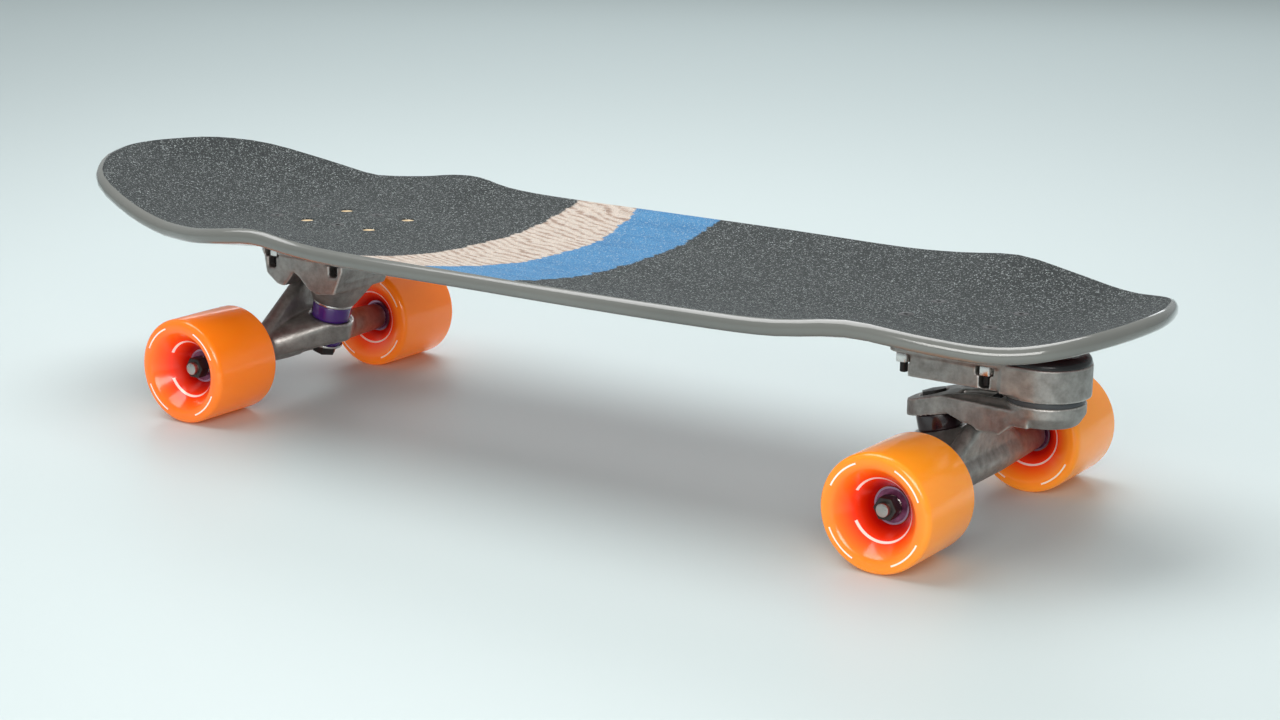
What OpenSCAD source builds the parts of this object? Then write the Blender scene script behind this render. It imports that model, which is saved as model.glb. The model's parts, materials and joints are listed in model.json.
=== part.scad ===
// Surf skateboard: a laminated deck with a urethane rail, a low traditional
// truck at the tail and a sprung swing-arm truck at the nose, on four wheels.
// Millimetres. +X runs to the nose, +Z up. The origin is on the floor, under
// the middle of the deck.

/* [Deck] */
// Overall length, rail included
deck_l = 789; // [740:1:860]
// Thickness of the wood, grip left out
deck_t = 9.2; // [8.5:0.1:12]
// Height of the flat middle of the wood above the floor
deck_top = 123; // [120:0.5:130]
// Width of the urethane rail, seen from above
rail_w = 4.5; // [3.5:0.5:8]
// Thickness of the grip sheet
grip_t = 0.8; // [0.5:0.1:1.2]
// Thickness of the coloured sheet glued under the wood
base_sheet_t = 1; // [0.6:0.1:1.5]
// Width of the wood where the tail starts to rise
tail_w = 204; // [180:1:230]
// Width of the wood at the rear wheels
hip_w = 247; // [225:1:260]
// Width of the wood midway between the trucks
waist_w = 234; // [210:1:250]
// Width of the wood just behind the front wheels
shoulder_w = 228; // [205:1:245]
// Width of the wood where the nose rounds off
nose_w = 146; // [120:1:180]
// How far the tail tip stands above the flat
tail_kick = 32; // [20:1:40]
// How far the nose tip stands above the flat
nose_kick = 17.5; // [8:0.5:25]
// How far the side edges stand above the flat
concave = 8; // [5:0.5:12]
// Extra lift of the edges over each pair of wheels
wheel_flare = 6.5; // [3:0.5:9]

/* [Running gear] */
// Distance between the axles
wheelbase = 520; // [480:1:560]
// From the middle of the deck back to the rear axle
rear_reach = 237; // [220:1:250]
// Width of a hanger, from shoulder to shoulder
hanger_w = 156; // [150:1:184]
// Diameter of the axles
axle_d = 8; // [7.9:0.1:8.1]
// Length of thread that stands out past an axle nut
axle_tip = 3; // [1:0.5:5]

/* [Wheels] */
// Wheel diameter
wheel_d = 70; // [60:1:75]
// Wheel width
wheel_w = 57; // [48:1:60]
// How far the core sits inwards from the middle of the wheel
core_in = 5; // [3:0.5:6]
// Rounding of the wheel's two edges
lip_r = 4; // [2:0.5:7]
// Outside diameter of a bearing
bearing_d = 22; // [22:1:24]
// Width of a bearing
bearing_w = 7; // [6:0.5:8]
// Length of the spacer tube between two bearings
spacer_l = 10; // [8:0.5:12]
// Wall of the plastic core around the bearings
core_wall = 4; // [3:0.5:6]
// Thickness of a speed washer
washer_t = 1; // [0.6:0.1:1.5]

/* [Truck bolts] */
// Distance between bolt holes along the board
bolt_dx = 54; // [50:0.5:64]
// Distance between bolt holes across the board
bolt_dy = 41.3; // [40:0.1:43]
// Bolt diameter
bolt_d = 4.8; // [4.2:0.1:5]
// Width across the flats of a bolt's nut
bolt_nut_af = 9.5; // [9:0.1:10.5]
// Thickness of a bolt's nut
bolt_nut_h = 5.5; // [4:0.5:7]
// Length of bolt that shows under its nut
bolt_tail = 6.5; // [2:0.5:7]

/* [Kingpins and bushings] */
// Kingpin diameter
kingpin_d = 9.5; // [9:0.1:10]
// Lean of a kingpin away from upright
kingpin_lean = 14; // [8:1:18]
// From the axle to the middle of the hanger's ring, along the board
ring_x = 22; // [20:0.5:25]
// Height of the middle of the ring above the floor
ring_z = 47; // [45:0.5:50]
// Thickness of the hanger's ring
ring_t = 11; // [9:0.5:12]
// Outside diameter of the ring
ring_d = 33; // [30:1:36]
// Outside diameter of a bushing
bushing_d = 27; // [24:0.5:28]
// Height of the upper, barrel-shaped bushing
upper_bushing_h = 11.5; // [10:0.5:13]
// Height of the lower, cone-shaped bushing
lower_bushing_h = 7; // [6:0.5:10]
// Sheet thickness of the cupped washers
cup_t = 1.5; // [1:0.1:2]
// Diameter of the ball at the tip of a hanger's pivot
pivot_ball_d = 11; // [9:0.5:12]
// Wall of the urethane cup around the pivot ball
pivot_cup_wall = 2.2; // [1.5:0.1:3]

/* [Swing arm] */
// From the front axle forward to the upright post
post_reach = 43; // [40:0.5:50]
// Diameter of the post
post_d = 16; // [14:0.5:18]
// Radius of the baseplate's round barrel
barrel_r = 26; // [24:0.5:30]
// Radius of the arm around the post
arm_r = 23.5; // [21:0.5:25]
// Height of the arm's underside above the floor, at the post
arm_bottom = 68; // [66:0.5:70]
// Thickness of the arm at the post
arm_t = 13; // [11:0.5:14]
// Diameter of the wire of the centring spring
spring_wire = 2.6; // [2:0.1:3]
// Number of turns of the centring spring
spring_turns = 3; // [2:0.5:4]

/* [Fits] */
// Radial gap of a pin that turns in its bush
running_gap = 0.05; // [0.02:0.01:0.1]
// Gap between faces that move past each other
moving_gap = 0.3; // [0.3:0.05:0.6]
// Radial gap of a bolt in its hole
bolt_gap = 0.2; // [0.1:0.05:0.4]

/* [Hidden] */

$fn = 48;
eps = 0.01;

// Places along the board
rear_axle_x = -rear_reach;
front_axle_x = rear_axle_x + wheelbase;
axle_z = wheel_d / 2;
tail_tip = -deck_l / 2 + rail_w;
nose_tip = deck_l / 2 - rail_w;
tail_len = rear_axle_x - tail_tip;
nose_len = nose_tip - front_axle_x;

// Heights of the deck's layers
wood_bottom = deck_top - deck_t;
core_t = deck_t - base_sheet_t;

// Edge of the wood, tail to nose on one side: [x, half width, lift of the edge]
outline = [
    [tail_tip, 0, 0],
    [tail_tip + 0.05 * tail_len, 0.25 * tail_w / 2, 0.35 * concave],
    [tail_tip + 0.15 * tail_len, 0.55 * tail_w / 2, 0.8 * concave],
    [tail_tip + 0.32 * tail_len, 0.83 * tail_w / 2, concave],
    [tail_tip + 0.6 * tail_len, tail_w / 2, concave],
    [tail_tip + 0.85 * tail_len, 1.07 * tail_w / 2, 0.9 * concave],
    [rear_axle_x + 10, 0.965 * hip_w / 2, concave + 0.1 * wheel_flare],
    [rear_axle_x + 35, hip_w / 2, concave + 0.6 * wheel_flare],
    [rear_axle_x + 62, 0.96 * hip_w / 2, concave + 0.9 * wheel_flare],
    [rear_axle_x + 90, 0.94 * hip_w / 2, concave + 0.3 * wheel_flare],
    [rear_axle_x + 130, waist_w / 2, concave],
    [rear_axle_x + 220, waist_w / 2, concave],
    [front_axle_x - 200, waist_w / 2, concave],
    [front_axle_x - 115, shoulder_w / 2, concave],
    [front_axle_x - 72, shoulder_w / 2, concave + 0.3 * wheel_flare],
    [front_axle_x - 30, 0.955 * shoulder_w / 2, concave + wheel_flare],
    [front_axle_x + 8, 0.89 * shoulder_w / 2, concave + 0.4 * wheel_flare],
    [front_axle_x + 0.36 * nose_len, 0.81 * shoulder_w / 2, 0.9 * concave],
    [front_axle_x + 0.55 * nose_len, 1.15 * nose_w / 2, 0.65 * concave],
    [front_axle_x + 0.72 * nose_len, nose_w / 2, 0.5 * concave],
    [front_axle_x + 0.86 * nose_len, 0.76 * nose_w / 2, 0.35 * concave],
    [front_axle_x + 0.95 * nose_len, 0.42 * nose_w / 2, 0.12 * concave],
    [nose_tip, 0, 0],
];
outline_steps = 3;
last_span = len(outline) - 2;

// The outline's mirror image carries the curve on past each tip
function flip(p) = [p[0], -p[1], p[2]];
function outline_at(i) =
    i < 0 ? flip(outline[-i])
    : i > last_span + 1 ? flip(outline[2 * (last_span + 1) - i])
    : outline[i];

// Smooth curve through four neighbouring points
function through(a, b, c, d, t) =
    0.5 * (2 * b + (c - a) * t + (2 * a - 5 * b + 4 * c - d) * t * t
        + (3 * b - a - 3 * c + d) * t * t * t);

edge = concat(
    [for (i = [0:last_span], s = [0:outline_steps - 1])
        through(outline_at(i - 1), outline_at(i), outline_at(i + 1), outline_at(i + 2),
            s / outline_steps)],
    [outline[last_span + 1]]
);
rows = len(edge);
half_cols = 6;
cols = 2 * half_cols + 1;

// Middle line: flat over both trucks, rising at the tail and at the nose
tail_flat_end = rear_axle_x - 22;
nose_flat_end = front_axle_x + 30;
function bend(u, power) = u <= 0 ? 0 : pow(u, power);
function middle_z(x) =
    deck_top
    + tail_kick * bend((tail_flat_end - x) / (tail_flat_end - tail_tip), 1.35)
    + nose_kick * bend((x - nose_flat_end) / (nose_tip - nose_flat_end), 2.2);

// Across the board the middle quarter is flat, and the sides curve up
flat_share = 0.26;
function dish(t) = t <= flat_share ? 0 : pow((t - flat_share) / (1 - flat_share), 1.7);
function column_share(j) = (j - half_cols) / half_cols;
function col_t(j) = sign(column_share(j)) * (abs(column_share(j)) < 0.2
    ? abs(column_share(j)) / (1 / half_cols) * flat_share
    : flat_share + (1 - flat_share) * (abs(column_share(j)) * half_cols - 1) / (half_cols - 1));

// A point on the top of the wood: row k along the board, column j across it
spine_share = 1 - 90 / deck_l;
function wood_point(k, j) =
    let (e = edge[k], t = col_t(j), x = e[0] * (spine_share + (1 - spine_share) * abs(t)))
    [x, t * e[1], middle_z(x) + e[2] * dish(abs(t))];

// At the tips both halves of a row fall on one line, so they share its points
function index(k, j) =
    k * cols + ((k == 0 || k == rows - 1) ? half_cols + abs(j - half_cols) : j);

// One layer of the deck, between two depths measured from the top of the wood
module layer(low, high) {
    count = rows * cols;
    low_points = [for (k = [0:rows - 1], j = [0:cols - 1]) wood_point(k, j) + [0, 0, low]];
    high_points = [for (k = [0:rows - 1], j = [0:cols - 1]) wood_point(k, j) + [0, 0, high]];
    cells = [for (k = [0:rows - 2], j = [0:cols - 2]) [k, j]];
    top = [for (c = cells) each [
        [for (q = [[0, 0], [0, 1], [1, 1]]) count + index(c[0] + q[0], c[1] + q[1])],
        [for (q = [[0, 0], [1, 1], [1, 0]]) count + index(c[0] + q[0], c[1] + q[1])]]];
    bottom = [for (c = cells) each [
        [for (q = [[0, 0], [1, 1], [0, 1]]) index(c[0] + q[0], c[1] + q[1])],
        [for (q = [[0, 0], [1, 0], [1, 1]]) index(c[0] + q[0], c[1] + q[1])]]];
    wall = [for (k = [0:rows - 2]) each [
        [index(k, 0), count + index(k, 0), count + index(k + 1, 0)],
        [index(k, 0), count + index(k + 1, 0), index(k + 1, 0)],
        [index(k, cols - 1), count + index(k + 1, cols - 1), count + index(k, cols - 1)],
        [index(k, cols - 1), index(k + 1, cols - 1), count + index(k + 1, cols - 1)]]];
    flat = [for (f = concat(top, bottom, wall))
        if (f[0] != f[1] && f[1] != f[2] && f[2] != f[0]) f];
    polyhedron(points = concat(low_points, high_points), faces = flat, convexity = 6);
}

// The edge as one closed loop, near side first, for the rail to follow
loop = concat(
    [for (k = [0:rows - 1]) [edge[k][0], -edge[k][1], middle_z(edge[k][0]) + edge[k][2]]],
    [for (k = [rows - 2:-1:1]) [edge[k][0], edge[k][1], middle_z(edge[k][0]) + edge[k][2]]]
);
loop_n = len(loop);
function outward(i) =
    let (d = loop[(i + 1) % loop_n] - loop[(i + loop_n - 1) % loop_n])
    [d[1], -d[0]] / norm([d[0], d[1]]);

// Hole positions of one truck, from the middle of its bolt pattern
bolt_spots = [for (x = [-1, 1], y = [-1, 1]) [x * bolt_dx / 2, y * bolt_dy / 2]];
// The middle of each bolt pattern, measured from its axle towards mid-board
rear_bolts_in = 22;
front_bolts_in = 12;
rear_bolts_x = rear_axle_x + rear_bolts_in;
front_bolts_x = front_axle_x - front_bolts_in;
// A second set of holes lets the rear truck be moved up by half a pattern
spare_bolts_x = rear_bolts_x + bolt_dx / 2;
bolt_r = bolt_d / 2;
bolt_head_r = 4.8;
bolt_head_h = 2.8;
nut_seat = wood_bottom - 12.5;
nut_bottom = nut_seat - bolt_nut_h;
bolt_bottom = nut_bottom - bolt_tail;

module at_bolts(centre_x) {
    for (p = bolt_spots)
        translate([centre_x + p[0], p[1], 0]) children();
}

// A countersunk hole through all the layers
module bolt_hole() {
    top = deck_top + grip_t;
    translate([0, 0, wood_bottom - 5]) cylinder(r = bolt_r + bolt_gap, h = deck_t + 15);
    translate([0, 0, top - bolt_head_h])
        cylinder(r1 = bolt_r + bolt_gap, r2 = bolt_head_r + bolt_gap, h = bolt_head_h);
    translate([0, 0, top - eps]) cylinder(r = bolt_head_r + bolt_gap, h = 3);
}

module deck_holes() {
    at_bolts(rear_bolts_x) bolt_hole();
    at_bolts(spare_bolts_x) bolt_hole();
    at_bolts(front_bolts_x) bolt_hole();
}

module deck_core() {
    color("burlywood")
        difference() {
            layer(-core_t, 0);
            deck_holes();
        }
}

module deck_base_sheet() {
    color("maroon")
        difference() {
            layer(-deck_t, -core_t);
            deck_holes();
        }
}

module deck_grip() {
    color("dimgray")
        difference() {
            layer(0, grip_t);
            deck_holes();
        }
}

// D-shaped bead along the whole edge, as tall as the deck with its grip
module deck_rail() {
    sides = 7;
    mid = (grip_t - deck_t) / 2;
    half_h = (grip_t + deck_t) / 2;
    ring = [for (s = [0:sides]) let (a = 90 - 180 * s / sides)
        [rail_w * cos(a), mid + half_h * sin(a)]];
    n = len(ring);
    points = [for (i = [0:loop_n - 1], r = ring)
        [loop[i][0] + outward(i)[0] * r[0], loop[i][1] + outward(i)[1] * r[0],
            loop[i][2] + r[1]]];
    function spot(i, j) = (i % loop_n) * n + j % n;
    faces = [for (i = [0:loop_n - 1], j = [0:n - 1]) each [
        [spot(i, j), spot(i, j + 1), spot(i + 1, j + 1)],
        [spot(i, j), spot(i + 1, j + 1), spot(i + 1, j)]]];
    color("slategray") polyhedron(points = points, faces = faces, convexity = 8);
}

// Truck bolts and their nuts
module bolt() {
    top = deck_top + grip_t;
    difference() {
        union() {
            translate([0, 0, top - bolt_head_h])
                cylinder(r1 = bolt_r, r2 = bolt_head_r, h = bolt_head_h);
            translate([0, 0, bolt_bottom]) cylinder(r = bolt_r, h = top - bolt_head_h - bolt_bottom);
        }
        translate([0, 0, top - 2]) cylinder(d = 3.4, h = 3, $fn = 6);
    }
}

module hex_nut(af, hole_r, h) {
    difference() {
        cylinder(d = af / cos(30), h = h, $fn = 6);
        translate([0, 0, -1]) cylinder(r = hole_r, h = h + 2, $fn = 48);
    }
}

module deck_bolts(centre_x) {
    color("black") at_bolts(centre_x) bolt();
}

module deck_nuts(centre_x) {
    color("silver")
        at_bolts(centre_x)
            translate([0, 0, nut_bottom]) hex_nut(bolt_nut_af, bolt_r, bolt_nut_h);
}

// Each truck is drawn with its axle over x = 0 and mid-board towards +x
module at_rear() {
    translate([rear_axle_x, 0, 0]) children();
}

module at_front() {
    translate([front_axle_x, 0, 0]) mirror([1, 0, 0]) children();
}

// Along a kingpin: z runs up the pin from the middle of the hanger's ring
module on_kingpin() {
    translate([ring_x, 0, ring_z]) rotate([0, kingpin_lean, 0]) children();
}
seat_up = ring_t / 2 + upper_bushing_h + cup_t;
arm_seat_z = ring_z + seat_up * cos(kingpin_lean);
front_kingpin_up = seat_up + 5;
low_washer_top = -ring_t / 2 - lower_bushing_h;
kingpin_nut_h = 6.5;
kingpin_nut_af = 14.3;
kingpin_end = low_washer_top - cup_t - kingpin_nut_h - 1;
kingpin_r = kingpin_d / 2;
kingpin_hole_r = kingpin_r + bolt_gap;

// Along a pivot: z runs from the ball towards the ring of the hanger
rear_pivot = [-8.5, 84.5];
front_pivot = [-13, 71];
module on_pivot(pivot) {
    turn = atan2(ring_x - pivot[0], ring_z - pivot[1]);
    translate([pivot[0], 0, pivot[1]]) rotate([0, turn, 0]) children();
}
ball_r = pivot_ball_d / 2;
socket_r = ball_r + moving_gap;
cup_r = socket_r + pivot_cup_wall;
cup_back = socket_r + pivot_cup_wall;
cup_front = 4;
neck_r = ball_r - 1.2;

module kingpin(shaft_up) {
    color("dimgray")
        on_kingpin() {
            translate([0, 0, kingpin_end]) cylinder(r = kingpin_r, h = shaft_up - kingpin_end);
            translate([0, 0, shaft_up - eps])
                cylinder(d = kingpin_nut_af / cos(30), h = kingpin_head_h, $fn = 6);
        }
}
kingpin_head_h = 6;

module kingpin_nut() {
    color("dimgray")
        on_kingpin()
            translate([0, 0, low_washer_top - cup_t - kingpin_nut_h])
                hex_nut(kingpin_nut_af, kingpin_r, kingpin_nut_h);
}

// A flat washer with a short rim, so that it holds the end of its bushing
module cup_washer(r) {
    difference() {
        cylinder(r = r, h = cup_t);
        translate([0, 0, -1]) cylinder(r = kingpin_hole_r, h = cup_t + 2);
    }
}

module cup_washers() {
    color("silver")
        on_kingpin() {
            translate([0, 0, seat_up - cup_t]) cup_washer(bushing_d / 2 + 0.8);
            translate([0, 0, low_washer_top - cup_t]) cup_washer(lower_bushing_tip_r + 1);
        }
}
lower_bushing_tip_r = bushing_d / 2 - 3;

module upper_bushing(tint) {
    h = upper_bushing_h;
    r = bushing_d / 2;
    color(tint)
        on_kingpin()
            translate([0, 0, ring_t / 2])
                rotate_extrude()
                    polygon([[kingpin_hole_r, 0], [r - 1, 0], [r, 1], [r, h - 1], [r - 1, h],
                        [kingpin_hole_r, h]]);
}

module lower_bushing(tint) {
    h = lower_bushing_h;
    color(tint)
        on_kingpin()
            translate([0, 0, low_washer_top])
                rotate_extrude()
                    polygon([[kingpin_hole_r, 0], [lower_bushing_tip_r, 0],
                        [bushing_d / 2 - 0.5, h - 2], [bushing_d / 2 - 0.5, h],
                        [kingpin_hole_r, h]]);
}

module pivot_cup(pivot) {
    color("#303030")
        on_pivot(pivot)
            difference() {
                translate([0, 0, -cup_back]) cylinder(r = cup_r, h = cup_back + cup_front);
                sphere(r = socket_r);
                cylinder(r = socket_r, h = cup_front + 1);
            }
}

// Room for a pivot cup, open towards the hanger
module cup_room(pivot) {
    on_pivot(pivot) {
        translate([0, 0, -cup_back]) cylinder(r = cup_r, h = cup_back + cup_front + eps);
        translate([0, 0, cup_front]) cylinder(r1 = cup_r, r2 = cup_r + 12, h = 18);
    }
}

// Hanger: a beam around the axle, a ring for the kingpin and a web up to the pivot
beam_end_r = 9;
beam_mid_r = 11;
beam_mid_w = 46;
web_w = 104;
shelf_w = 88;
web_start = 11;
// Lip of the hanger round each bushing seat
seat_lip = 1;
module hanger(pivot) {
    color("#8c8378")
        difference() {
            union() {
                for (side = [-1, 1])
                    translate([0, side * beam_mid_w / 2, axle_z])
                        rotate([-90 * side, 0, 0])
                            cylinder(r1 = beam_mid_r, r2 = beam_end_r,
                                h = (hanger_w - beam_mid_w) / 2);
                translate([0, -beam_mid_w / 2, axle_z])
                    rotate([-90, 0, 0]) cylinder(r = beam_mid_r, h = beam_mid_w);
                hull() {
                    on_kingpin()
                        translate([0, 0, -ring_t / 2 - seat_lip])
                            cylinder(d = ring_d, h = ring_t + 2 * seat_lip, $fn = 32);
                    translate([1, -shelf_w / 2, axle_z + 1])
                        rotate([-90, 0, 0]) cylinder(r = 8, h = shelf_w, $fn = 24);
                }
                hull() {
                    on_pivot(pivot) translate([0, 0, web_start]) sphere(r = neck_r + 0.8, $fn = 24);
                    translate([-1, -web_w / 2, axle_z + 2])
                        rotate([-90, 0, 0]) cylinder(r = 6, h = web_w, $fn = 24);
                }
                on_pivot(pivot) {
                    sphere(r = ball_r);
                    rotate([0, 0, 40]) cylinder(r = neck_r, h = web_start);
                }
            }
            on_kingpin()
                rotate([0, 0, 50]) {
                    translate([0, 0, -40]) cylinder(r = kingpin_r + 3, h = 80);
                    translate([0, 0, ring_t / 2]) cylinder(r = bushing_d / 2 + 1.2, h = 40);
                    translate([0, 0, -ring_t / 2 - 40]) cylinder(r = bushing_d / 2 + 1.2, h = 40);
                }
            translate([0, -hanger_w / 2 - 1, axle_z])
                rotate([-90, 0, 0]) cylinder(d = axle_d, h = hanger_w + 2);
        }
}

// Axle and what sits on it, outwards from the hanger's shoulder
inner_bearing_y = hanger_w / 2 + washer_t;
spacer_y = inner_bearing_y + bearing_w;
outer_bearing_y = spacer_y + spacer_l;
outer_washer_y = outer_bearing_y + bearing_w;
axle_nut_y = outer_washer_y + washer_t;
axle_nut_h = 7.5;
axle_nut_af = 12.7;
axle_end_y = axle_nut_y + axle_nut_h + axle_tip;
core_mid_y = (inner_bearing_y + outer_washer_y) / 2;
wheel_mid_y = core_mid_y + core_in;
bore_r = axle_d / 2 + running_gap;
inner_race_r = 6.2;
outer_race_r = 9.2;

// Children stand on the axle, y outwards, on both ends or on one side
module along_axle(side, y) {
    translate([0, side * y, axle_z]) rotate([-90 * side, 0, 0]) children();
}

module axle() {
    color("silver")
        along_axle(1, -axle_end_y) cylinder(d = axle_d, h = 2 * axle_end_y);
}

module axle_nuts() {
    color("dimgray")
        for (side = [-1, 1])
            along_axle(side, axle_nut_y) hex_nut(axle_nut_af, axle_d / 2, axle_nut_h);
}

module tube(r_out, h) {
    difference() {
        cylinder(r = r_out, h = h);
        translate([0, 0, -1]) cylinder(r = bore_r, h = h + 2);
    }
}

module speed_washers() {
    color("silver")
        for (side = [-1, 1], y = [hanger_w / 2, outer_washer_y])
            along_axle(side, y) tube(6, washer_t);
}

module bearing_spacers() {
    color("silver")
        for (side = [-1, 1])
            along_axle(side, spacer_y) tube(5.4, spacer_l);
}

module inner_races() {
    color("gainsboro")
        for (side = [-1, 1], y = [inner_bearing_y, outer_bearing_y])
            along_axle(side, y)
                difference() {
                    tube(inner_race_r, bearing_w);
                    translate([0, 0, bearing_w / 2])
                        rotate_extrude() translate([ball_circle_r, 0]) circle(r = race_ball_r + 0.1);
                }
}
ball_circle_r = (inner_race_r + outer_race_r) / 2;
race_ball_r = 2;
balls = 7;

// Wheel: urethane tyre, plastic core and two shielded bearings
face_in = (wheel_w - 2 * bearing_w - spacer_l) / 2;
core_r = bearing_d / 2 + core_wall;
wheel_r = wheel_d / 2;
face_r = wheel_r - lip_r;
core_half = (2 * bearing_w + spacer_l) / 2;
// Urethane over each end of the core
core_cover = 1.5;
module wheel_place(side) {
    translate([0, side * wheel_mid_y, axle_z]) rotate([-90 * side, 0, 0]) children();
}

// Half outline of the tyre: the tread, a rounded edge, a flat face and a cone
function tyre_side(s) = concat(
    [for (a = [0:15:90]) [face_r + lip_r * cos(a), s * (wheel_w / 2 - lip_r + lip_r * sin(a))]],
    [[face_r - 3, s * wheel_w / 2], [face_r - 5, s * (wheel_w / 2 - 1)],
        [core_r + 2.5, s * (wheel_w / 2 - 0.55 * (face_in + s * core_in))],
        [bearing_d / 2 + 0.3, s * core_half - core_in],
        [bearing_d / 2 + 0.3, s * (core_half - core_cover) - core_in],
        [core_r, s * (core_half - core_cover) - core_in]]
);
module tyre(side) {
    upper = tyre_side(1);
    lower = tyre_side(-1);
    color("orangered")
        wheel_place(side)
            rotate_extrude($fn = 96)
                polygon(concat(upper, [for (i = [len(lower) - 1:-1:0]) lower[i]]));
}

module core(side) {
    shoulder_r = bearing_d / 2 - 2;
    b = bearing_d / 2;
    half = core_half - core_cover;
    color("orange")
        along_axle(side, core_mid_y)
            rotate_extrude()
                polygon([[core_r, -half], [core_r, half], [b, half],
                    [b, spacer_l / 2], [shoulder_r, spacer_l / 2], [shoulder_r, -spacer_l / 2],
                    [b, -spacer_l / 2], [b, -half]]);
}

// Outer race with its two shields, which stop just short of the inner race
module outer_races(side) {
    shield_t = 0.5;
    shield_r = inner_race_r + moving_gap;
    b = bearing_d / 2;
    w = bearing_w / 2;
    color("#5a2a4a")
        for (y = [inner_bearing_y, outer_bearing_y])
            along_axle(side, y + w)
                rotate_extrude()
                    polygon([[b, -w], [b, w], [shield_r, w], [shield_r, w - shield_t],
                        [outer_race_r + 0.6, w - shield_t], [outer_race_r + 0.6, shield_t - w],
                        [shield_r, shield_t - w], [shield_r, -w]]);
}

module bearing_balls(side) {
    w = bearing_w / 2;
    color("white")
        for (y = [inner_bearing_y, outer_bearing_y], i = [0:balls - 1])
            along_axle(side, y + w)
                rotate([0, 0, i * 360 / balls]) translate([ball_circle_r, 0, 0]) sphere(r = race_ball_r);
}

// Rear baseplate, tall enough to carry the traditional truck without a riser
rear_plate_w = 56;
rear_plate_end = 10;
rear_corner_r = 4;
corner_r = 8;
block_bottom = nut_bottom + 2;
module rounded_block(x0, x1, w, z0, z1, r = corner_r) {
    translate([0, 0, z0])
        linear_extrude(z1 - z0) {
            translate([x0 + r, -w / 2]) square([x1 - x0 - 2 * r, w]);
            translate([x0, -w / 2 + r]) square([x1 - x0, w - 2 * r]);
            for (x = [x0 + r, x1 - r], y = [-1, 1])
                translate([x, y * (w / 2 - r)]) circle(r);
        }
}

// Side openings of a baseplate, in which the nuts sit and the bolts end
module nut_pockets(centre_x, bottom) {
    nut_w = bolt_nut_af / cos(30) + 0.6;
    slot_w = bolt_d + 1.8;
    inner_y = bolt_dy / 2 - bolt_nut_af / 2 / cos(30) - 0.5;
    for (p = bolt_spots)
        translate([centre_x + p[0], 0, 0])
            mirror([0, p[1] < 0 ? 1 : 0, 0]) {
                translate([-nut_w / 2, inner_y, nut_bottom]) cube([nut_w, 40, bolt_nut_h]);
                translate([-slot_w / 2, bolt_dy / 2 - bolt_r - 1, bottom])
                    cube([slot_w, 40, nut_bottom - bottom + eps]);
                translate([0, bolt_dy / 2, nut_seat - eps]) cylinder(r = bolt_r + bolt_gap, h = 20);
            }
}

rear_plate_x0 = rear_bolts_in - bolt_dx / 2 - rear_plate_end;
rear_plate_x1 = rear_bolts_in + bolt_dx / 2 + rear_plate_end;
kingpin_up = 40;
cheek_w = 54;
cheek_top = block_bottom + 1;
cheek = [
    [-13, cheek_top], [-10.5, 84], [-1, 77], [5.5, 76.5], [10, 81.5], [14, 87],
    [19, 84], [27, 76.5], [34, 74], [50, 76], [rear_plate_x1 - 2, 92], [rear_plate_x1 - 1, cheek_top]
];
module rear_baseplate() {
    boss_r = bushing_d / 2 + 1.5;
    color("#8c8378")
        at_rear()
            difference() {
                union() {
                    rounded_block(rear_plate_x0, rear_plate_x1, rear_plate_w, block_bottom,
                        wood_bottom, rear_corner_r);
                    hull() {
                        on_kingpin() translate([0, 0, seat_up]) cylinder(r = boss_r, h = 3, $fn = 32);
                        rounded_block(ring_x, ring_x + 32, cheek_w - 2, cheek_top - 15,
                            cheek_top, $fn = 24);
                    }
                    translate([0, cheek_w / 2, 0])
                        rotate([90, 0, 0])
                            linear_extrude(cheek_w)
                                offset(r = 2) offset(delta = -2) polygon(cheek);
                }
                cup_room(rear_pivot);
                on_kingpin() {
                    translate([0, 0, seat_up - 30]) cylinder(r = boss_r + 8, h = 30);
                    cylinder(r = kingpin_hole_r, h = 90);
                    translate([0, 0, kingpin_up - eps])
                        cylinder(r = kingpin_nut_af / 2 / cos(30) + 0.5, h = 50);
                }
                nut_pockets(rear_bolts_in, bolt_bottom - 1);
            }
}

// Front baseplate: a flat block with a round barrel for the post
plate_h = 26;
front_plate_w = 52;
front_plate_z0 = wood_bottom - plate_h;
front_plate_x1 = front_bolts_in + bolt_dx / 2 + rear_plate_end;
barrel_top = wood_bottom - 9.5;
thrust_t = 3.4;
// The arm's hub starts above the pocket that takes the post's nut
hub_floor = arm_bottom + 5;
barrel_bottom = arm_bottom + arm_t + thrust_t + moving_gap;
spring_room_r = 15;
cap_floor = barrel_top - 3;
spring_room_top = barrel_top - 7;
post_head_r = post_d / 2 + 4.5;
module at_post() {
    translate([-post_reach, 0, 0]) children();
}

module front_baseplate() {
    body_x1 = front_plate_x1 - 14.5;
    step_x = barrel_r - post_reach - 8;
    color("#8c8378")
        at_front()
            difference() {
                union() {
                    rounded_block(step_x - 8, front_plate_x1, front_plate_w, nut_seat, wood_bottom);
                    translate([step_x - 8, -front_plate_w / 2 + 1, front_plate_z0])
                        cube([body_x1 - step_x + 8, front_plate_w - 2, nut_seat - front_plate_z0 + eps]);
                    at_post() {
                        translate([0, 0, barrel_bottom])
                            cylinder(r = barrel_r, h = barrel_top - barrel_bottom, $fn = 96);
                        translate([0, -barrel_r, barrel_bottom + 2])
                            cube([barrel_r - 8, 2 * barrel_r, barrel_top - barrel_bottom - 2]);
                    }
                }
                at_post() {
                    translate([0, 0, barrel_bottom - 1])
                        cylinder(r = spring_room_r, h = spring_room_top - barrel_bottom + 1);
                    translate([0, 0, barrel_bottom]) cylinder(d = post_d, h = 60);
                    translate([0, 0, cap_floor]) cylinder(r = post_head_r, h = 30);
                    translate([0, 0, barrel_top]) cylinder(r = barrel_r - 0.5, h = 30, $fn = 96);
                    at_cap_screws() translate([0, 0, barrel_top - 2]) cylinder(r = 1.2, h = 20);
                }
                nut_pockets(front_bolts_in, bolt_bottom - 1);
            }
}

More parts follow.
